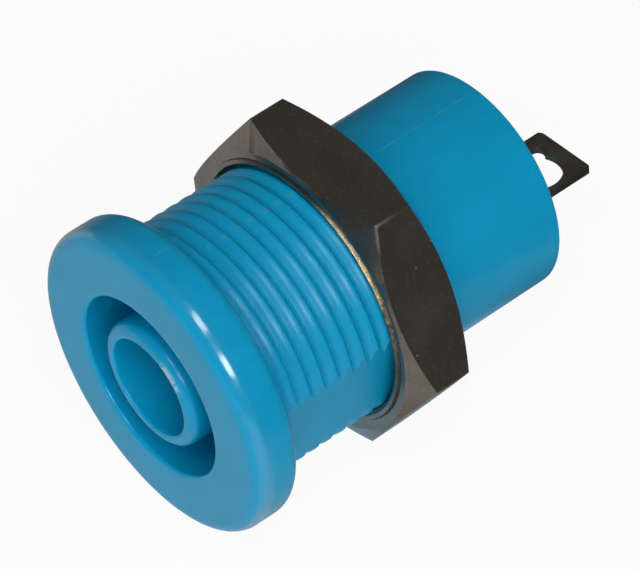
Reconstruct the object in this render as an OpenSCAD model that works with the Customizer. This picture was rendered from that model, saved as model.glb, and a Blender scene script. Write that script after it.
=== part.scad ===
// Shrouded 4 mm banana socket for panel mounting.
// The axis runs along Y: the plug comes in from -Y and the solder tab leaves towards +Y.
// The origin is the centre of the flange's back face, where the panel seats.

/* [Flange] */
// Overhang of the flange beyond the thread
flange_rim = 1.3; // [1:0.1:4]
// Thickness of the flange
flange_t = 2.3; // [1.8:0.1:4]
// Rounding of the flange's front edge
flange_front_r = 0.7; // [0.2:0.1:1.2]
// Rounding of the flange's back edge
flange_back_r = 0.6; // [0.1:0.1:0.6]

/* [Shank] */
// Outside diameter of the thread
thread_d = 12; // [11:0.5:16]
// Length of the threaded shank behind the flange
thread_len = 9.5; // [7:0.5:20]
// Chamfer at the end of the thread
thread_chamfer = 0.5; // [0.2:0.1:0.6]
// Depth of the keying flat below the thread's crest
flat_depth = 0.45; // [0.2:0.05:0.6]
// Turn of the keying flat, from the right side towards the underside
flat_turn = 6; // [0:1:359]

/* [Rear sleeve] */
// Step from the thread's crest down to the sleeve
sleeve_step = 0.65; // [0.6:0.05:1]
// Length of the sleeve behind the thread
sleeve_len = 6.8; // [4:0.1:20]
// Rounding of the sleeve's rear edge
sleeve_edge_r = 0.1; // [0.1:0.1:0.6]

/* [Plug entry] */
// Width of the ring gap that takes the plug's shroud
gap_w = 1.35; // [1.2:0.05:1.5]
// Rounding of the ring gap's mouth
gap_edge_r = 0.2; // [0.1:0.05:0.4]
// Wall of the guard tube around the contact
guard_wall = 0.55; // [0.5:0.05:0.8]
// Rounding of the guard tube's rim, on its outside
guard_edge_r = 0.45; // [0.1:0.05:0.45]
// Rounding of the guard tube's mouth
mouth_edge_r = 0.1; // [0.05:0.05:0.1]
// Room around the plug's pin in the guard tube's mouth
mouth_room = 0.35; // [0.1:0.05:0.35]
// Depth of the guard tube's mouth in front of the contact
mouth_len = 4.2; // [2:0.1:6]
// Thickness of the rear wall that carries the guard tube
rear_wall = 2.6; // [1.5:0.1:4]

/* [Contact] */
// Bore of the contact, for the plug's pin
bore_d = 4; // [3.8:0.1:4.2]
// Thickness of the contact's sheet metal
sheet_t = 0.4; // [0.4:0.05:0.5]
// Chamfer that guides the pin into the contact
contact_lead = 0.2; // [0.1:0.05:0.3]
// Gap along the seam of the rolled contact
seam_w = 0.4; // [0.2:0.1:0.8]
// Clearance between the contact and its seat
contact_clear = 0.05; // [0.03:0.01:0.1]
// Length of the rolled tube behind the sleeve's rear face
contact_out = 0.3; // [0.2:0.1:1]
// Width of each holding barb
barb_w = 1.2; // [0.8:0.1:1.6]
// Length of each holding barb
barb_len = 0.9; // [0.5:0.1:1.2]
// Clearance between a barb's tip and the seat
barb_clear = 0.01; // [0.01:0.005:0.02]

/* [Solder tab] */
// Length of the tab behind the sleeve
tab_len = 5.2; // [4.5:0.1:12]
// Width of the tab
tab_w = 3.4; // [3.2:0.1:3.6]
// Distance of the tab's edges outside the outline of the rolled tube
tab_out = 0.2; // [0.05:0.05:0.3]
// Length over which the rolled wall runs out into the flat tab
tab_root = 0.4; // [0.2:0.1:1]
// Rounding of the tab's end, on the side of the wire eye's main hole
tab_tip_r = 0.2; // [0.1:0.05:0.4]
// Rounding of the tab's end, on the side of the wire eye's lobe
tab_corner_r = 0.35; // [0.1:0.05:0.8]
// Direction of the tab's side of the contact, from the right side towards the underside
tab_turn = 84; // [0:1:359]
// Diameter of the wire eye's main hole
eye_d = 2.5; // [2:0.1:2.6]
// Width of the wire eye's side lobe
lobe_w = 0.7; // [0.5:0.1:0.9]
// Metal between the wire eye and the tab's end
eye_tip = 0.7; // [0.5:0.05:1]
// Metal between the wire eye's main hole and the tab's side
eye_edge = 0.3; // [0.25:0.05:0.35]
// Metal between the wire eye's side lobe and the tab's other side
lobe_edge = 0.65; // [0.6:0.05:0.8]

/* [Nut] */
// Wall of the nut at its flats, beyond the thread
nut_rim = 1; // [0.8:0.1:4]
// Thickness of the nut
nut_t = 3.2; // [2.4:0.1:6]
// Distance of the nut's corner bevel inside its flats
nut_bevel = 0.15; // [0.05:0.05:0.3]
// Slope of the nut's corner bevel
nut_bevel_angle = 30; // [15:1:32]
// Running clearance between the nut and the shank
nut_clear = 0.05; // [0.02:0.01:0.1]
// Countersink at both ends of the nut's bore
nut_sink = 0.35; // [0.2:0.05:0.5]
// Place of the nut's front face behind the flange
nut_at = 6.05; // [0.05:0.05:6.5]

/* [Hidden] */
$fn = 96;
cut = 0.5;

thread_r = thread_d / 2;
flange_r = thread_r + flange_rim;
sleeve_r = thread_r - sleeve_step;
body_end = thread_len + sleeve_len;
bore_r = bore_d / 2;
contact_r = bore_r + sheet_t;
seat_r = contact_r + contact_clear;
mouth_r = bore_r + mouth_room;
guard_r = seat_r + guard_wall;
gap_r = guard_r + gap_w;
gap_depth = flange_t + body_end - rear_wall;
contact_front = mouth_len - flange_t;
contact_end = body_end + contact_out;
tab_end = body_end + tab_len;
tab_outer = sqrt(pow(contact_r + tab_out, 2) - pow(tab_w / 2, 2));
barb_end = body_end - rear_wall / 2 + barb_len / 2;
nut_bore_r = thread_r + nut_clear;
nut_half = thread_r + nut_rim;
nut_corner_r = nut_half / cos(30);
nut_face_r = nut_half - nut_bevel;

// Stands the local Z axis along the socket's axis, with local Y pointing down
module along_axis() {
    rotate([-90, 0, 0]) children();
}

// Waste of a rounded corner at the origin, where the solid lies towards +x and +y
module corner_waste(r) {
    difference() {
        translate([-cut, -cut]) square(r + cut);
        translate([r, r]) circle(r);
    }
}

// Half section of the moulding: radius along x, distance behind the flange along y
module body_section() {
    difference() {
        union() {
            translate([0, -flange_t]) square([flange_r, flange_t]);
            square([thread_r, thread_len]);
            square([sleeve_r, body_end]);
        }
        translate([flange_r, -flange_t]) mirror([1, 0]) corner_waste(flange_front_r);
        translate([flange_r, 0]) rotate(180) corner_waste(flange_back_r);
        translate([thread_r, thread_len]) polygon([[cut, -thread_chamfer - cut], [cut, 0], [-thread_chamfer, 0]]);
        translate([sleeve_r, body_end]) rotate(180) corner_waste(sleeve_edge_r);
        gap_section();
        bore_section();
    }
}

// Ring gap for the plug's shroud, with the rounded edges of its mouth
module gap_section() {
    translate([guard_r, -flange_t - cut]) square([gap_w, gap_depth + cut]);
    translate([gap_r, -flange_t]) corner_waste(gap_edge_r);
    translate([guard_r, -flange_t]) mirror([1, 0]) corner_waste(guard_edge_r);
}

// Mouth for the pin, and behind it the seat that the contact is pushed into from the rear
module bore_section() {
    translate([-cut, -flange_t - cut]) square([mouth_r + cut, mouth_len + 2 * cut]);
    translate([mouth_r, -flange_t]) corner_waste(mouth_edge_r);
    translate([-cut, contact_front]) square([seat_r + cut, body_end - contact_front + cut]);
}

// Moulded in one piece: flange, flatted shank, rear sleeve, rear wall and guard tube
module insulating_body() {
    color([0.06, 0.6, 0.8]) along_axis() difference() {
        rotate_extrude() body_section();
        rotate(flat_turn)
            translate([thread_r - flat_depth, -thread_r, 0])
                cube([flat_depth + cut, thread_d, thread_len + cut]);
    }
}

// Tube rolled from sheet, open along its seam and flared for the pin
module rolled_tube() {
    difference() {
        translate([0, 0, contact_front]) cylinder(r = contact_r, h = contact_end - contact_front);
        translate([0, 0, contact_front - cut]) cylinder(r = bore_r, h = contact_end - contact_front + 2 * cut);
        translate([0, 0, contact_front]) cylinder(r1 = bore_r + contact_lead, r2 = bore_r, h = contact_lead);
        translate([-contact_r - cut, -seam_w / 2, contact_front - cut])
            cube([contact_r + cut, seam_w, contact_end - contact_front + 2 * cut]);
    }
}

// Barb lanced out of the tube, which wedges it in the rear wall
module barb() {
    root = bore_r + sheet_t / 2;
    tip = seat_r - barb_clear;
    translate([0, 0, barb_end - barb_len]) intersection() {
        translate([root, -barb_w / 2, 0]) cube([tip - root, barb_w, barb_len]);
        cylinder(r1 = contact_r - barb_clear, r2 = tip, h = barb_len);
    }
}

// Wire eye: a round hole, and beside it a slot with a round end that opens into the hole
module wire_eye() {
    far_end = tab_end - eye_tip;
    hole_middle = eye_edge + (eye_d - tab_w) / 2;
    lobe_middle = (tab_w - lobe_w) / 2 - lobe_edge;
    straight = (eye_d - lobe_w) / 2;
    translate([hole_middle, far_end - eye_d / 2]) circle(d = eye_d);
    translate([lobe_middle, far_end - lobe_w / 2]) circle(d = lobe_w);
    translate([lobe_middle - lobe_w / 2, far_end - eye_d / 2]) square([lobe_w, straight]);
}

// Outline of the tab: its width along x, its length along y
module tab_outline() {
    difference() {
        translate([-tab_w / 2, contact_end]) square([tab_w, tab_end - contact_end]);
        translate([tab_w / 2, tab_end]) rotate(180) corner_waste(tab_corner_r);
        translate([-tab_w / 2, tab_end]) mirror([0, 1]) corner_waste(tab_tip_r);
        wire_eye();
    }
}

// Root of the tab, where the round wall of the tube flattens
module tab_run_out() {
    translate([0, 0, contact_end]) intersection() {
        cylinder(r = contact_r, h = tab_root);
        translate([tab_outer - sheet_t, -contact_r, 0]) cube([contact_r, 2 * contact_r, tab_root]);
    }
}

// Stamped and rolled in one piece: plug contact, holding barbs and solder tab
module contact() {
    color([0.35, 0.32, 0.27]) along_axis() rotate(tab_turn) {
        rolled_tube();
        for (side = [-90, 90]) rotate(side) barb();
        tab_run_out();
        translate([tab_outer - sheet_t, 0, 0]) rotate([90, 0, 90]) linear_extrude(sheet_t) tab_outline();
    }
}

// Half section of the round blank that bevels the nut's corners on both sides
module nut_blank_section() {
    reach = nut_corner_r + cut;
    drop = (reach - nut_face_r) * tan(nut_bevel_angle);
    polygon([
        [0, 0],
        [nut_face_r, 0],
        [reach, drop],
        [reach, nut_t - drop],
        [nut_face_r, nut_t],
        [0, nut_t]
    ]);
}

// Hexagon nut on the shank, bevelled on both sides, with one flat straight down
module hex_nut() {
    sink_r = nut_bore_r + nut_sink;
    color([0.45, 0.42, 0.38]) along_axis() translate([0, 0, nut_at]) difference() {
        intersection() {
            linear_extrude(nut_t) circle(r = nut_corner_r, $fn = 6);
            rotate_extrude() nut_blank_section();
        }
        translate([0, 0, -cut]) cylinder(r = nut_bore_r, h = nut_t + 2 * cut);
        cylinder(r1 = sink_r, r2 = nut_bore_r, h = nut_sink);
        translate([0, 0, nut_t - nut_sink]) cylinder(r1 = nut_bore_r, r2 = sink_r, h = nut_sink);
    }
}

insulating_body();
contact();
hex_nut();
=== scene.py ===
# Shrouded banana socket for panel mounting: moulded body, rolled contact and hexagon nut.
# Each piece is drawn in millimetres about the socket's axis, Y, and scaled to metres when it is done.
import math

import bpy
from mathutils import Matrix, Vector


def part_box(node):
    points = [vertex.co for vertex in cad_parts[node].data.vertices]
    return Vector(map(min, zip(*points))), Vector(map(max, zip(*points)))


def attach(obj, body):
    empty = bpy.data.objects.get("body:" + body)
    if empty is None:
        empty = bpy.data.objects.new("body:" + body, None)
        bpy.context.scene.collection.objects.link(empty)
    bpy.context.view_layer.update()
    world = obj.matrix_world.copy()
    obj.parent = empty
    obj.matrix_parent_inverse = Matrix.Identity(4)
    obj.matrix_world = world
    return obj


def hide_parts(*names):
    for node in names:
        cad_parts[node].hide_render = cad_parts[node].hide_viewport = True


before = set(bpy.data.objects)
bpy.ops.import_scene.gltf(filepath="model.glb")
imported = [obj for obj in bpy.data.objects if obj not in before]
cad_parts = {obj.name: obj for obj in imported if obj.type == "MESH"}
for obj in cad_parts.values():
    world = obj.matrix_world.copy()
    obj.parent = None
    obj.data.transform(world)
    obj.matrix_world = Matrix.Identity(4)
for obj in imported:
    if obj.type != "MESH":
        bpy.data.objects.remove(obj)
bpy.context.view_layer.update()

# Insulating body
# One moulding in glossy light blue plastic: round flange, threaded shank with a keying flat, smooth
# rear sleeve, and the guard tube that stands in the ring gap for a plug's shroud.
# It comes out of a mould in two halves, which leave a fine seam along the top and the underside.
MM = 0.001
TURN_STEPS = 192
MERGE = 1e-4
body_low, body_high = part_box("insulating_body")
front = body_low.y / MM
body_end = body_high.y / MM
flange_r = body_high.x / MM
flange_front_round = 0.7
flange_back_round = 0.6
sleeve_r = 5.35
sleeve_round = 0.1
seat_r = 2.45
mouth_r = 2.35
mouth_round = 0.1
mouth_end = 1.9
guard_r = 3.0
guard_round = 0.45
gap_r = 4.35
gap_round = 0.2
gap_end = 13.7
fillet = 0.12
thread_r = 6.0
thread_end = 9.5
thread_chamfer = 0.5
thread_pitch = 0.75
thread_half = 0.37
thread_depth = 0.17
thread_front_at = -0.05
thread_front_run = 0.25
thread_front_round = 0.45
thread_back_at = 0.13
thread_back_run = 0.17
thread_back_round = 0.08
thread_root_round = 0.07
thread_root_r = thread_r - thread_depth
root_step = 0.006
thread_core_r = thread_root_r - root_step
thread_ridge_at = 0.91
thread_relief = 0.45
thread_steps = 128
ridge_sink = 0.1
ridge_turns = 16
ridge_turns_before = 3
chamfer_step = 0.05
flat_distance = 5.55
flat_turn = math.radians(6)
flat_clear = 0.004
beyond = 1.5
seam_slope = math.tan(math.radians(3))
chafe_glint_place = math.radians(53)
body_smooth = math.radians(35)


def deselect():
    """Clears the selection, so that the next operator acts on the new piece alone."""
    if bpy.context.mode != "OBJECT":
        bpy.ops.object.mode_set(mode="OBJECT")
    bpy.ops.object.select_all(action="DESELECT")


def work_on(piece, mode="OBJECT"):
    """Makes one piece the only selected and active object, in the given mode."""
    deselect()
    bpy.context.view_layer.objects.active = piece
    piece.select_set(True)
    bpy.ops.object.mode_set(mode=mode)


def draw_outline(name, corners, rounding_steps=8):
    """Draws a closed outline in the XY plane, vertex by vertex: X is the radius and Y runs along the
    axis. A corner is (radius, y, rounding), and a rounded corner is an arc spun about its centre."""
    deselect()
    bpy.ops.mesh.primitive_plane_add(size=1)
    piece = bpy.context.object
    piece.name = name
    bpy.ops.object.mode_set(mode="EDIT")
    bpy.ops.mesh.merge(type="CENTER")
    pen = (0, 0)
    for i, (x, y, rounding) in enumerate(corners):
        x_before, y_before, _ = corners[i - 1]
        x_after, y_after, _ = corners[(i + 1) % len(corners)]
        way_in = math.atan2(y - y_before, x - x_before)
        way_out = math.atan2(y_after - y, x_after - x)
        bend = (way_out - way_in + math.pi) % (2 * math.pi) - math.pi
        back_off = rounding * math.tan(abs(bend) / 2)
        start = (x - back_off * math.cos(way_in), y - back_off * math.sin(way_in))
        step = (start[0] - pen[0], start[1] - pen[1], 0)
        if i == 0:
            bpy.ops.transform.translate(value=step)
        else:
            bpy.ops.mesh.extrude_vertices_move(TRANSFORM_OT_translate={"value": step})
        pen = start
        if rounding > 0:
            inward = way_in + math.copysign(math.pi / 2, bend)
            centre = (start[0] + rounding * math.cos(inward), start[1] + rounding * math.sin(inward), 0)
            bpy.ops.mesh.spin(steps=rounding_steps, angle=-bend, center=centre, axis=(0, 0, 1))
            pen = (x + back_off * math.cos(way_out), y + back_off * math.sin(way_out))
    bpy.ops.mesh.select_all(action="DESELECT")
    bpy.ops.object.mode_set(mode="OBJECT")
    neighbours = [0] * len(piece.data.vertices)
    for edge in piece.data.edges:
        for end in edge.vertices:
            neighbours[end] += 1
    for vertex in piece.data.vertices:
        vertex.select = neighbours[vertex.index] == 1
    bpy.ops.object.mode_set(mode="EDIT")
    bpy.ops.mesh.edge_face_add()
    bpy.ops.mesh.select_all(action="SELECT")
    bpy.ops.mesh.remove_doubles(threshold=MERGE)
    return piece


def face_outwards():
    """Merges the doubles of the mesh in hand and turns its faces outwards."""
    bpy.ops.mesh.select_all(action="SELECT")
    bpy.ops.mesh.remove_doubles(threshold=MERGE)
    bpy.ops.mesh.normals_make_consistent(inside=False)
    bpy.ops.object.mode_set(mode="OBJECT")


def turned(name, corners, rounding_steps=8):
    """A solid of revolution about the axis, as turned on a lathe."""
    piece = draw_outline(name, corners, rounding_steps)
    bpy.ops.mesh.spin(steps=TURN_STEPS, angle=2 * math.pi, center=(0, 0, 0), axis=(0, 1, 0))
    face_outwards()
    return piece


def helix(name, corners, turns):
    """A right-hand helical solid with the given section, which rises one pitch a turn."""
    piece = draw_outline(name, corners, rounding_steps=5)
    bpy.ops.object.mode_set(mode="OBJECT")
    screw = piece.modifiers.new("screw", "SCREW")
    screw.axis = "Y"
    screw.angle = 2 * math.pi
    screw.screw_offset = thread_pitch
    screw.iterations = turns
    screw.steps = thread_steps
    screw.render_steps = thread_steps
    bpy.ops.object.modifier_apply(modifier=screw.name)
    bpy.ops.object.mode_set(mode="EDIT")
    bpy.ops.mesh.select_all(action="SELECT")
    bpy.ops.mesh.fill_holes(sides=0)
    face_outwards()
    return piece


def combine(piece, tool, operation):
    """Joins the tool to the piece or cuts the piece with it, and takes the tool away."""
    work_on(piece)
    step = piece.modifiers.new("combine", "BOOLEAN")
    step.operation = operation
    step.solver = "MANIFOLD"
    step.object = tool
    bpy.ops.object.modifier_apply(modifier=step.name)
    bpy.data.objects.remove(tool)


def complete(piece, material, body, node, smooth_angle):
    """Scales a finished piece to metres, shades it, and puts it in the place of its CAD node."""
    work_on(piece)
    piece.scale = (MM, MM, MM)
    bpy.ops.object.transform_apply(location=True, rotation=True, scale=True)
    bpy.ops.object.shade_smooth_by_angle(angle=smooth_angle)
    weigh = piece.modifiers.new("weigh", "WEIGHTED_NORMAL")
    weigh.keep_sharp = True
    bpy.ops.object.modifier_apply(modifier=weigh.name)
    piece.data.materials.clear()
    piece.data.materials.append(material)
    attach(piece, body)
    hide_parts(node)


class Signal:
    """A value in a material's node tree. Arithmetic on it adds Math nodes to the tree."""

    def __init__(self, tree, socket=None):
        self.tree = tree
        self.socket = socket

    def node(self, kind, settings, inputs, output=0):
        """Adds a node of any kind: its settings first, then the values or links of its sockets."""
        made = self.tree.nodes.new("ShaderNode" + kind)
        for setting, value in settings.items():
            setattr(made, setting, value)
        for key, value in inputs.items():
            if isinstance(value, Signal):
                self.tree.links.new(value.socket, made.inputs[key])
            else:
                made.inputs[key].default_value = value
        return Signal(self.tree, made.outputs[output])

    def math(self, operation, first, second=0.0):
        return self.node("Math", {"operation": operation}, {0: first, 1: second})

    def __add__(self, other):
        return self.math("ADD", self, other)

    def __radd__(self, other):
        return self.math("ADD", other, self)

    def __sub__(self, other):
        return self.math("SUBTRACT", self, other)

    def __rsub__(self, other):
        return self.math("SUBTRACT", other, self)

    def __mul__(self, other):
        return self.math("MULTIPLY", self, other)

    def __rmul__(self, other):
        return self.math("MULTIPLY", other, self)

    def __truediv__(self, other):
        return self.math("DIVIDE", self, other)

    def __pow__(self, other):
        return self.math("POWER", self, other)

    def __abs__(self):
        return self.math("ABSOLUTE", self)

    def ramp(self, low, high):
        """Rises smoothly from 0 at low to 1 at high."""
        settings = {"interpolation_type": "SMOOTHSTEP"}
        return self.node("MapRange", settings, {0: self, 1: low, 2: high, 3: 0.0, 4: 1.0})

    def mix(self, first, second):
        """The first colour where this value is 0, and the second where it is 1."""
        colours = [c if isinstance(c, Signal) else (*c, 1) for c in (first, second)]
        settings = {"data_type": "RGBA"}
        return self.node("Mix", settings, {0: self, 6: colours[0], 7: colours[1]}, output=2)


def new_finish(name, constants):
    """A material with a Principled shader whose constant sockets are set. Gives the material, the
    shader, its coordinates in millimetres and the three of them one by one."""
    material = bpy.data.materials.new(name)
    material.use_nodes = True
    tree = material.node_tree
    shader = tree.nodes["Principled BSDF"]
    for socket, value in constants.items():
        shader.inputs[socket].default_value = value
    graph = Signal(tree)
    place = graph.node("TexCoord", {}, {}, output="Object")
    place = graph.node("VectorMath", {"operation": "SCALE"}, {0: place, "Scale": 1 / MM})
    axes = [graph.node("SeparateXYZ", {}, {0: place}, output=i) for i in range(3)]
    return material, shader, place, axes


def feed(shader, socket, signal):
    """Links a varying value to one of the shader's sockets."""
    signal.tree.links.new(signal.socket, shader.inputs[socket])


def feed_bump(shader, strength, distance, height):
    """Gives the shader a relief of the given height, where a height of 1 is the distance in mm."""
    inputs = {"Strength": strength, "Distance": distance * MM, "Height": height}
    feed(shader, "Normal", height.node("Bump", {}, inputs))


def noise(place, scale, detail, roughness=0.5):
    """Noise from 0 to 1 with the given number of cells in a millimetre."""
    inputs = {"Vector": place, "Scale": scale, "Detail": detail, "Roughness": roughness}
    return place.node("TexNoise", {}, inputs)


def from_axis(x, z):
    """The distance of a point from the socket's axis."""
    return (x * x + z * z) ** 0.5


def out_towards(x, z, around):
    """How far a point lies out from the axis in the direction at that angle around it."""
    return math.cos(around) * x + math.sin(around) * z


def blue_plastic():
    """Faintly cloudy blue with a gleam on the flange's rim, softer on the thread. The seam is a fine
    broken line that nicks each ridge. The mouth of the guard tube is nicked and painted pale on the side
    where the lamps glint: partly chafing, partly painted highlight."""
    deep_blue, bright_blue = (0.002, 0.35, 0.6), (0.003, 0.37, 0.635)
    seam_blue, chafe_and_glint_blue = (0.12, 0.45, 0.6), (0.62, 0.8, 0.8)
    material, shader, place, (x, y, z) = new_finish("blue_plastic", {
        "IOR": 1.46,
        "Subsurface Weight": 0.8,
        "Subsurface Radius": (0.3, 0.8, 1.0),
        "Subsurface Scale": 0.5 * MM,
        "Coat Roughness": 0.13,
        "Coat IOR": 1.8,
    })
    radius = from_axis(x, z)
    before_end = 1 - y.ramp(thread_end - 0.1, thread_end + 0.1)
    on_thread = radius.ramp(gap_r + 0.45, gap_r + 0.65) * y.ramp(0.0, 0.4) * before_end
    on_flange = radius.ramp(flange_r - 0.8, flange_r - 0.5) * (1 - y.ramp(-0.8, -0.2))
    on_rim = radius.ramp(flange_r - 0.3, flange_r - 0.1) * (1 - y.ramp(front + 0.6, front + 1.0))
    at_mouth = (1 - radius.ramp(mouth_r + 0.25, mouth_r + 0.5)) * (1 - y.ramp(front + 0.05, front + 0.15))

    beside_seam = abs(x + seam_slope * z)
    broken = noise(place, scale=1.3, detail=3.0).ramp(0.45, 0.58)
    outside = radius.ramp(sleeve_r - 0.15, sleeve_r - 0.05) * y.ramp(front + 0.3, front + 0.7)
    line = (1 - beside_seam.ramp(0.01, 0.06)) * broken * outside
    on_ridge = radius.ramp(thread_root_r + 0.03, thread_r - 0.04)
    nick = 0.6 * (1 - beside_seam.ramp(0.05, 0.17)) * on_ridge
    seam = line + on_thread * (nick - line)

    patches = noise(place, scale=4.0, detail=3.0).ramp(0.35, 0.5)
    # Pale patches on the guard tube's mouth, only where the lamps glint: partly chafing, partly painted
    # highlight.
    chafe_and_glint = at_mouth * (out_towards(x, z, chafe_glint_place) / radius).ramp(0.955, 0.985) * patches
    cloud = noise(place, scale=0.35, detail=3.0)
    tone = cloud.ramp(0.3, 0.7).mix(deep_blue, bright_blue)
    tone = (0.35 * seam).mix(tone, seam_blue)
    feed(shader, "Base Color", (0.6 * chafe_and_glint).mix(tone, chafe_and_glint_blue))
    grain = noise(place, scale=9.0, detail=3.0)
    feed(shader, "Roughness", 0.18 + 0.08 * grain + 0.1 * on_thread)
    feed(shader, "Coat Weight", 0.9 * on_rim)
    ripple = noise(place, scale=1.6, detail=2.0) * (0.6 - 0.4 * on_thread + 0.9 * on_flange)
    relief = ripple + 0.15 * grain + 0.8 * seam + 2.0 * chafe_and_glint * grain
    feed_bump(shader, strength=0.6, distance=0.02, height=relief)
    return material


body = turned("insulating_body_moulding", [
    (mouth_r, front, mouth_round),
    (guard_r, front, guard_round),
    (guard_r, gap_end, fillet),
    (gap_r, gap_end, fillet),
    (gap_r, front, gap_round),
    (flange_r, front, flange_front_round),
    (flange_r, 0, flange_back_round),
    (thread_core_r, 0, fillet),
    (thread_core_r, thread_end, 0),
    (sleeve_r, thread_end, fillet),
    (sleeve_r, body_end, sleeve_round),
    (seat_r, body_end, fillet),
    (seat_r, mouth_end, 0),
    (mouth_r, mouth_end, 0),
], rounding_steps=10)

ridge_foot_r = thread_core_r - ridge_sink
ridge_start = thread_ridge_at - ridge_turns_before * thread_pitch
ridge = helix("thread_ridge", [
    (ridge_foot_r, ridge_start - thread_half, 0),
    (thread_root_r, ridge_start - thread_half, 0),
    (thread_root_r, ridge_start + thread_front_at - thread_front_run, thread_root_round),
    (thread_r, ridge_start + thread_front_at, thread_front_round),
    (thread_r, ridge_start + thread_back_at, thread_back_round),
    (thread_root_r, ridge_start + thread_back_at + thread_back_run, thread_root_round),
    (thread_root_r, ridge_start + thread_half, 0),
    (ridge_foot_r, ridge_start + thread_half, 0),
], ridge_turns)
relief_r = ridge_foot_r - ridge_sink
relief_end = thread_relief - (thread_core_r - relief_r)
combine(ridge, turned("thread_relief_tool", [
    (relief_r, ridge_start - thread_pitch, 0),
    (flange_r, ridge_start - thread_pitch, 0),
    (flange_r, relief_end + flange_r - relief_r, 0),
    (relief_r, relief_end, 0),
]), "DIFFERENCE")
combine(body, ridge, "UNION")

chamfer_foot = sleeve_r + chamfer_step
chamfer_sum = thread_r + thread_end - thread_chamfer
combine(body, turned("thread_end_tool", [
    (thread_r + beyond, chamfer_sum - thread_r - beyond, 0),
    (thread_r + beyond, thread_end + 2 * beyond, 0),
    (chamfer_foot, thread_end + 2 * beyond, 0),
    (chamfer_foot, chamfer_sum - chamfer_foot, 0),
]), "DIFFERENCE")

deselect()
bpy.ops.mesh.primitive_cube_add(size=1, location=(0, 0, 0))
flat_tool = bpy.context.object
flat_tool.scale = (beyond, thread_end + beyond, 2 * thread_r)
flat_tool.location = (flat_distance + beyond / 2, (thread_end + beyond) / 2 + flat_clear, 0)
bpy.ops.object.transform_apply(location=True, rotation=True, scale=True)
flat_tool.rotation_euler = (0, flat_turn, 0)
bpy.ops.object.transform_apply(location=True, rotation=True, scale=True)
combine(body, flat_tool, "DIFFERENCE")
complete(body, blue_plastic(), "socket", "insulating_body", body_smooth)

# Contact
# Stamped from plated sheet brass and rolled into a tube that is open along its seam. Behind the rear
# wall it flattens into a solder tab with a lobed eye, and two lanced barbs hold it in its seat.
# It is drawn with the tab straight down and then turned to its place.
contact_low, contact_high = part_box("contact")
contact_front = contact_low.y / MM
tab_end = contact_high.y / MM
sheet = 0.4
rolled_r = 2.2
contact_end = 16.6
contact_lead = 0.2
open_half = 0.2
roll_steps = 84
barb_start = 14.55
barb_tip = 15.45
barb_drop = 0.03
barb_rise = 1.016
barb_half = math.radians(15)
tab_half = 1.7
tab_spare = 0.03
tab_depth = 1.767
tab_corner = 0.35
tab_tip = 0.2
tab_neck = 0.2
# Each stretch of the run-out has a length, and how far it is flattened by its end.
tab_run_out = [(0.1, 0.15), (0.15, 0.5), (0.15, 0.85), (0.1, 1.0)]
tab_turn = math.radians(-6)
die_half = 3.0
eye_end = 20.8
eye_far_round = 0.499
# Each cut of the eye has a middle, a width and a length, and the share of the width that rounds its start.
eye_cuts = [(0.15, 2.5, 2.5, eye_far_round), (-0.7, 0.7, 1.25, 0.1)]
stamped_round = 0.03
stamped_angle = math.radians(40)


def select_points(piece, chosen):
    """Selects the points of a piece in edit mode that the given test of x, y and z picks."""
    work_on(piece, "EDIT")
    bpy.ops.mesh.select_mode(type="VERT")
    bpy.ops.mesh.select_all(action="DESELECT")
    bpy.ops.object.mode_set(mode="OBJECT")
    for vertex in piece.data.vertices:
        vertex.select = chosen(*vertex.co)
    bpy.ops.object.mode_set(mode="EDIT")


def plate(name, corners, low, high):
    """A flat plate with the given outline, from one height to another."""
    piece = draw_outline(name, corners, rounding_steps=12)
    bpy.ops.mesh.edge_face_add()
    bpy.ops.transform.translate(value=(0, 0, low))
    bpy.ops.mesh.extrude_region_move(TRANSFORM_OT_translate={"value": (0, 0, high - low)})
    face_outwards()
    return piece


def soften(piece, width, angle, segments):
    """Rounds every edge of a piece that is sharper than the given angle."""
    work_on(piece)
    step = piece.modifiers.new("soften", "BEVEL")
    step.width = width
    step.segments = segments
    step.limit_method = "ANGLE"
    step.angle_limit = angle
    step.harden_normals = False
    bpy.ops.object.modifier_apply(modifier=step.name)


def contact_metal():
    """Dark plating, cloudy and stained brown in spots, with the fine grain of rolled sheet."""
    dark_plating, light_plating, stain_brown = (0.22, 0.2, 0.17), (0.28, 0.255, 0.215), (0.2, 0.15, 0.09)
    material, shader, place, _ = new_finish("contact_metal", {"Metallic": 1.0})
    cloud = noise(place, scale=0.7, detail=4.0)
    grain = noise(place, scale=14.0, detail=3.0)
    stain = noise(place, scale=2.2, detail=3.0).ramp(0.56, 0.72)
    tone = cloud.ramp(0.3, 0.7).mix(dark_plating, light_plating)
    feed(shader, "Base Color", (0.45 * stain).mix(tone, stain_brown))
    feed(shader, "Roughness", 0.42 + 0.1 * cloud + 0.12 * stain)
    feed_bump(shader, strength=0.3, distance=0.015, height=0.5 * grain + cloud)
    return material


deselect()
bpy.ops.mesh.primitive_plane_add(size=1)
contact = bpy.context.object
contact.name = "contact_rolled_sheet"
bpy.ops.object.mode_set(mode="EDIT")
bpy.ops.mesh.merge(type="CENTER")
open_angle = math.asin(open_half / rolled_r)
open_edge = (rolled_r * math.sin(open_angle), contact_front, rolled_r * math.cos(open_angle))
bpy.ops.transform.translate(value=open_edge)
rows = [contact_front, contact_front + contact_lead, barb_start, barb_tip, barb_tip + barb_drop, contact_end]
for row, next_row in zip(rows, rows[1:]):
    bpy.ops.mesh.extrude_vertices_move(TRANSFORM_OT_translate={"value": (0, next_row - row, 0)})
bpy.ops.mesh.select_all(action="SELECT")
roll = 2 * (math.pi - open_angle)
bpy.ops.mesh.spin(steps=roll_steps, angle=-roll, center=(0, 0, 0), axis=(0, 1, 0))
face_outwards()

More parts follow.
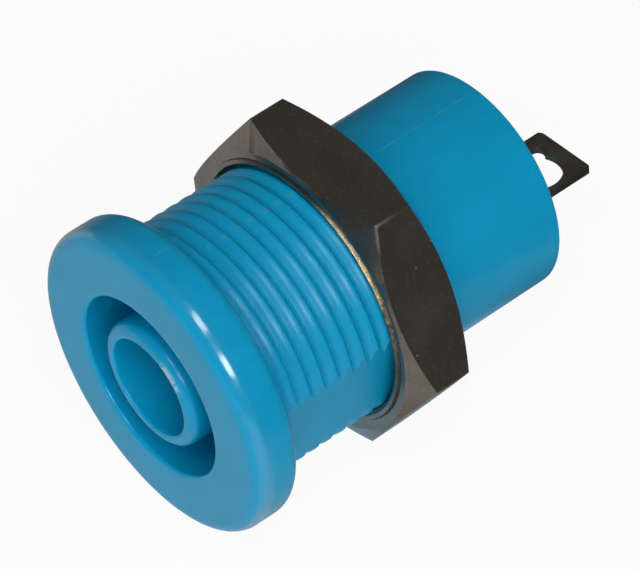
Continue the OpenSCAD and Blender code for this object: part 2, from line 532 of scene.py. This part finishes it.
tab_angle = tab_half / rolled_r
arc_spare = roll / roll_steps / 3
select_points(contact, lambda x, y, z: y > contact_end - MERGE
              and abs(math.atan2(x, -z)) < tab_angle + arc_spare)
widen = (tab_half + tab_spare) / (rolled_r * math.sin(tab_angle))
flat_before = 0
for step, flat in tab_run_out:
    bpy.ops.mesh.extrude_region_move(TRANSFORM_OT_translate={"value": (0, step, 0)})
    squeeze = (1 - flat) / (1 - flat_before)
    spread = (1 + (widen - 1) * flat) / (1 + (widen - 1) * flat_before)
    bpy.ops.transform.resize(value=(spread, 1, squeeze), center_override=(0, 0, -tab_depth))
    flat_before = flat
tab_start = contact_end + sum(step for step, flat in tab_run_out)
tab_reach = tab_end + tab_spare - tab_start
bpy.ops.mesh.extrude_region_move(TRANSFORM_OT_translate={"value": (0, tab_reach, 0)})
face_outwards()
thicken = contact.modifiers.new("thicken", "SOLIDIFY")
thicken.thickness = sheet
thicken.offset = 0
thicken.use_even_offset = True
bpy.ops.object.modifier_apply(modifier=thicken.name)

bore_r = rolled_r - sheet / 2
select_points(contact, lambda x, y, z: y < contact_front + MERGE and math.hypot(x, z) < bore_r + MERGE)
open_out = 1 + contact_lead / bore_r
bpy.ops.transform.resize(value=(open_out, 1, open_out), center_override=(0, 0, 0))
select_points(contact, lambda x, y, z: abs(y - barb_tip) < MERGE and math.hypot(x, z) > rolled_r
              and abs(math.atan2(z, abs(x))) < barb_half)
bpy.ops.transform.resize(value=(barb_rise, 1, barb_rise), center_override=(0, 0, 0))

tab_shoulder = tab_start + tab_neck
combine(contact, plate("tab_die", [
    (-die_half, 0, 0),
    (die_half, 0, 0),
    (die_half, tab_shoulder, 0),
    (tab_half, tab_shoulder, 0),
    (tab_half, tab_end, tab_tip),
    (-tab_half, tab_end, tab_corner),
    (-tab_half, tab_shoulder, 0),
    (-die_half, tab_shoulder, 0),
], -die_half, die_half), "INTERSECT")
for middle, width, length, start_round in eye_cuts:
    left, right = middle - width / 2, middle + width / 2
    combine(contact, plate("eye_punch", [
        (left, eye_end - length, start_round * width),
        (right, eye_end - length, start_round * width),
        (right, eye_end, eye_far_round * width),
        (left, eye_end, eye_far_round * width),
    ], -die_half, 0), "DIFFERENCE")
soften(contact, stamped_round, stamped_angle, segments=2)
contact.rotation_euler = (0, tab_turn, 0)
complete(contact, contact_metal(), "socket", "contact", body_smooth)

# Hexagon nut
# Turned from drawn brass hexagon bar and nickel plated, with its corners bevelled on both sides. A
# groove in its face, cut a little askew, leaves a lip around the thread.
# The plating is dull and specked. On the upper right the lip shows brass and the upper edges are lighter,
# only where the lamps glint: partly wear, partly painted highlight.
nut_low, nut_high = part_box("hex_nut")
nut_front = nut_low.y / MM
nut_back = nut_high.y / MM
nut_half = nut_high.z / MM
nut_corner_r = nut_high.x / MM
nut_face_step = 0.15
nut_face_r = nut_half - nut_face_step
nut_bevel = math.tan(math.radians(30))
nut_sink_r = 6.4
nut_thread_step = 0.06
nut_minor_r = thread_root_r + nut_thread_step
nut_thread_clear = 0.03
nut_edge = 0.09
nut_edge_angle = math.radians(25)
nut_smooth = math.radians(20)
lip_width = 0.2
lip_clear = 0.02
lip_tilt = math.radians(2)
lip_place = math.radians(50)
lip_lean = math.tan(math.radians(22))
lip_slope = 1.2
wear_glint_place = math.radians(47)
groove_turns = 6
groove_turns_before = 6
blank_r = 3.0
cutter_r = 2.5


def nut_metal():
    """Dull nickel, mottled and specked, with drawing marks along the flats. The upper corners and the
    bevelled edge on the upper right are painted lighter, and the lip there shows brass, only where the
    lamps glint: partly wear, partly painted highlight."""
    dark_nickel, light_nickel = (0.28, 0.25, 0.205), (0.335, 0.3, 0.25)
    mottled_nickel, speck_grey = (0.5, 0.49, 0.44), (0.62, 0.59, 0.52)
    wear_and_glint_nickel, bare_brass = (0.6, 0.52, 0.44), (0.9, 0.62, 0.3)
    material, shader, place, (x, y, z) = new_finish("nut_metal", {"Metallic": 1.0})
    radius = from_axis(x, z)
    cloud = noise(place, scale=0.5, detail=4.0)
    grain = noise(place, scale=16.0, detail=3.0)
    mottle = noise(place, scale=5.0, detail=5.0, roughness=0.7).ramp(0.5, 0.7)
    cells = {"Vector": place, "Scale": 2.4}
    near = place.node("TexVoronoi", {}, cells, output="Distance")
    chance = place.node("SeparateColor", {}, {0: place.node("TexVoronoi", {}, cells, output="Color")})
    speck = (1 - near.ramp(0.05, 0.13)) * chance.ramp(0.62, 0.7)

    in_front = 1 - y.ramp(nut_front + 0.1, nut_front + 0.5)
    lip = (1 - radius.ramp(nut_sink_r, nut_sink_r + 0.25)) * in_front
    # The lip shows brass only on the side where the lamps glint: partly wear, partly painted highlight.
    wear_glint_side = (out_towards(x, z, wear_glint_place) / radius).ramp(0.78, 0.95)
    brass = lip * wear_glint_side * noise(place, scale=2.5, detail=4.0).ramp(0.35, 0.6)
    rear = y.ramp(nut_front + 0.4, nut_front + 2.2)
    bevelled = 1 - (y - nut_front - (radius - nut_face_r) * nut_bevel).ramp(0.03, 0.1)
    to_flat = out_towards(x, z, math.pi / 6)
    edge = radius.ramp(nut_half + 0.45, nut_half + 0.75) * to_flat.ramp(nut_half - 0.12, nut_half - 0.04)
    corner = radius.ramp(nut_corner_r - 0.06, nut_corner_r - 0.02)
    # The upper corners and bevelled edge are painted lighter where they would catch light: partly wear,
    # partly painted highlight.
    wear_and_glint = z.ramp(3.0, 4.0) * (edge * bevelled + corner * (1 - 0.9 * rear))

    tone = cloud.ramp(0.3, 0.7).mix(dark_nickel, light_nickel)
    tone = (0.4 * mottle).mix(tone, mottled_nickel)
    tone = (0.7 * speck).mix(tone, speck_grey)
    tone = (0.8 * wear_and_glint).mix(tone, wear_and_glint_nickel)
    feed(shader, "Base Color", brass.mix(tone, bare_brass))
    feed(shader, "Roughness", 0.28 + 0.08 * cloud + 0.25 * speck + 0.25 * wear_and_glint + 0.15 * brass)
    stretched = place.node("Mapping", {}, {"Vector": place, "Scale": (9.0, 0.5, 9.0)})
    drawn = noise(stretched, scale=1.0, detail=3.0)
    torn = lip * noise(place, scale=9.0, detail=2.0)
    relief = drawn + 0.4 * grain + 0.8 * speck + 30.0 * torn
    feed_bump(shader, strength=0.12, distance=0.02, height=relief)
    return material


deselect()
bpy.ops.mesh.primitive_cylinder_add(
    vertices=6,
    radius=nut_corner_r,
    depth=nut_back - nut_front + 2 * nut_edge,
    location=(0, (nut_front + nut_back) / 2, 0),
    rotation=(math.pi / 2, math.pi / 6, 0),
)
nut = bpy.context.object
nut.name = "hex_nut_turned"
bpy.ops.object.transform_apply(location=True, rotation=True, scale=True)
nut_reach = nut_corner_r + nut_edge
bevel_run = (nut_reach - nut_face_r) * nut_bevel
combine(nut, turned("nut_blank", [
    (blank_r, nut_front, 0),
    (nut_face_r, nut_front, 0),
    (nut_reach, nut_front + bevel_run, 0),
    (nut_reach, nut_back - bevel_run, 0),
    (nut_face_r, nut_back, 0),
    (blank_r, nut_back, 0),
]), "INTERSECT")
soften(nut, nut_edge, nut_edge_angle, segments=3)
sink_run = nut_sink_r - nut_minor_r
combine(nut, turned("nut_bore", [
    (cutter_r, nut_front - beyond, 0),
    (nut_sink_r - lip_width + beyond, nut_front - beyond, 0),
    (nut_minor_r, nut_front + sink_run - lip_width, 0),
    (nut_minor_r, nut_back - sink_run, 0),
    (nut_sink_r + beyond, nut_back + beyond, 0),
    (cutter_r, nut_back + beyond, 0),
]), "DIFFERENCE")

lip_tool = turned("lip_tool", [
    (nut_sink_r - lip_lean * (lip_clear + beyond), -beyond, 0),
    (nut_sink_r + lip_slope * (lip_clear + beyond), -beyond, 0),
    (nut_sink_r, lip_clear, 0),
])
lip_tool.location = (0, nut_front, 0)
lip_tool.rotation_euler = (-lip_tilt * math.sin(lip_place), 0, lip_tilt * math.cos(lip_place))
combine(nut, lip_tool, "DIFFERENCE")

groove_foot = nut_minor_r - nut_thread_clear
groove_top = thread_r + nut_thread_clear
groove_share = (thread_r - groove_foot) / thread_depth
groove_start = thread_ridge_at + groove_turns_before * thread_pitch
groove_front = groove_start + thread_front_at - nut_thread_clear
groove_back = groove_start + thread_back_at + nut_thread_clear
combine(nut, helix("nut_groove", [
    (groove_foot, groove_front - groove_share * thread_front_run, 0),
    (groove_top, groove_front, 0),
    (groove_top, groove_back, 0),
    (groove_foot, groove_back + groove_share * thread_back_run, 0),
], groove_turns), "DIFFERENCE")
complete(nut, nut_metal(), "nut", "hex_nut", nut_smooth)

# Camera, lamps and floor
# A pale floor under the flange, two strip lamps above the socket and to its right, a broad fill lamp
# in front, and a dim room.
# The camera looks down on the socket from the front and the right with a long lens.
camera_azimuth = math.radians(49.61)
camera_elevation = math.radians(48.67)
camera_distance = 163 * MM
camera_aim = (-0.97 * MM, 8.01 * MM, -1.86 * MM)
camera_lens = 210.3
camera_clip = 5 * MM
room_level = 0.09
floor_size = 4.0
floor_cuts = 8
floor_level = 0.9
floor_white = 0.93


def towards(azimuth, elevation):
    """The direction from the socket to a place at that azimuth and elevation, in radians."""
    level = math.cos(elevation)
    return (math.sin(azimuth) * level, -math.cos(azimuth) * level, math.sin(elevation))


def add_lamp(name, azimuth, elevation, distance, length, width, level, forward=0.0):
    """An oblong lamp, moved forward by a distance, that lights a surface facing it to the level."""
    away = towards(math.radians(azimuth), math.radians(elevation))
    spot = [distance * part for part in away]
    spot[1] -= forward
    turn = (math.pi / 2 - math.radians(elevation), 0, math.radians(azimuth))
    bpy.ops.object.light_add(type="AREA", location=spot, rotation=turn)
    lamp = bpy.context.object
    lamp.name = name
    lamp.data.shape = "RECTANGLE"
    lamp.data.size = length
    lamp.data.size_y = width
    lamp.data.energy = level * math.pi ** 2 * distance ** 2
    return lamp


def grey(level):
    """A neutral colour."""
    return (level, level, level)


def dim_room():
    """White to the camera, and dim to the socket."""
    world = bpy.data.worlds.new("dim_room")
    world.use_nodes = True
    tree = world.node_tree
    graph = Signal(tree)
    to_camera = graph.node("LightPath", {}, {}, output="Is Camera Ray")
    room = graph.node("Background", {}, {"Color": (*grey(room_level), 1)})
    backdrop = graph.node("Background", {}, {"Color": (*grey(1), 1)})
    surround = graph.node("MixShader", {}, {0: to_camera, 1: room, 2: backdrop})
    tree.links.new(surround.socket, tree.nodes["World Output"].inputs["Surface"])
    return world


def pale_floor():
    """White to the camera, apart from a faint shadow. In reflections the floor is a painted tone: painted
    shade that darkens it away from the lamps, painted blue light from the body below the shank, and a
    painted lit strip to the right of the socket."""
    lit_floor, shaded_floor = grey(0.45), grey(0.06)
    bounce_blue_floor, lit_side_floor = (0.3, 0.45, 0.58), grey(0.26)
    material = bpy.data.materials.new("pale_floor")
    material.use_nodes = True
    tree = material.node_tree
    graph = Signal(tree)
    to_camera, glossy, through = (
        graph.node("LightPath", {}, {}, output=f"Is {kind} Ray")
        for kind in ("Camera", "Glossy", "Transmission")
    )
    matt = graph.node("BsdfDiffuse", {}, {"Color": (*grey(floor_level), 1)})
    white = graph.node("Emission", {}, {"Color": (*grey(1), 1), "Strength": 1.0})
    seen = graph.node("MixShader", {}, {0: floor_white * to_camera, 1: matt, 2: white})
    place = graph.node("TexCoord", {}, {}, output="Object")
    across = abs(graph.node("SeparateXYZ", {}, {0: place}, output="X") / MM)
    along = graph.node("SeparateXYZ", {}, {0: place}, output="Y") / MM
    # The tone seen in reflections is painted light and shade.
    tone = along.ramp(-6.0, 24.0).mix(lit_floor, shaded_floor)
    below = (1 - across.ramp(3.5, 6.5)) * along.ramp(-2.0, 1.0) * (1 - along.ramp(14.0, 18.0))
    tone = below.mix(tone, bounce_blue_floor)
    beside = across.ramp(5.0, 12.0) * (1 - across.ramp(18.0, 34.0))
    beside = beside * along.ramp(2.0, 12.0) * (1 - along.ramp(19.0, 25.0))
    mirrored = graph.node("Emission", {}, {"Color": beside.mix(tone, lit_side_floor)})
    shade = graph.node("MixShader", {}, {0: glossy + through, 1: seen, 2: mirrored})
    tree.links.new(shade.socket, tree.nodes["Material Output"].inputs["Surface"])
    return material


deselect()
away = towards(camera_azimuth, camera_elevation)
spot = [aim + camera_distance * part for aim, part in zip(camera_aim, away)]
turn = (math.pi / 2 - camera_elevation, 0, camera_azimuth)
bpy.ops.object.camera_add(location=spot, rotation=turn)
camera = bpy.context.object
camera.data.lens = camera_lens
camera.data.clip_start = camera_clip
bpy.context.scene.camera = camera

add_lamp("top_lamp", azimuth=90, elevation=73, distance=0.2, length=0.13, width=0.045,
         level=0.235, forward=0.04)
add_lamp("right_lamp", azimuth=90, elevation=41, distance=0.2, length=0.13, width=0.05,
         level=0.38, forward=0.05)
fill_lamp = add_lamp("fill_lamp", azimuth=20, elevation=35, distance=0.6, length=0.9, width=0.9,
                     level=0.54)
fill_lamp.visible_glossy = False
bpy.context.scene.world = dim_room()

deselect()
bpy.ops.mesh.primitive_grid_add(
    x_subdivisions=floor_cuts,
    y_subdivisions=floor_cuts,
    size=floor_size,
    location=(0, 0, -flange_r * MM),
)
floor = bpy.context.object
floor.name = "floor"
bpy.ops.object.transform_apply(location=True)
floor.data.materials.append(pale_floor())

bpy.context.scene.view_settings.view_transform = "Standard"
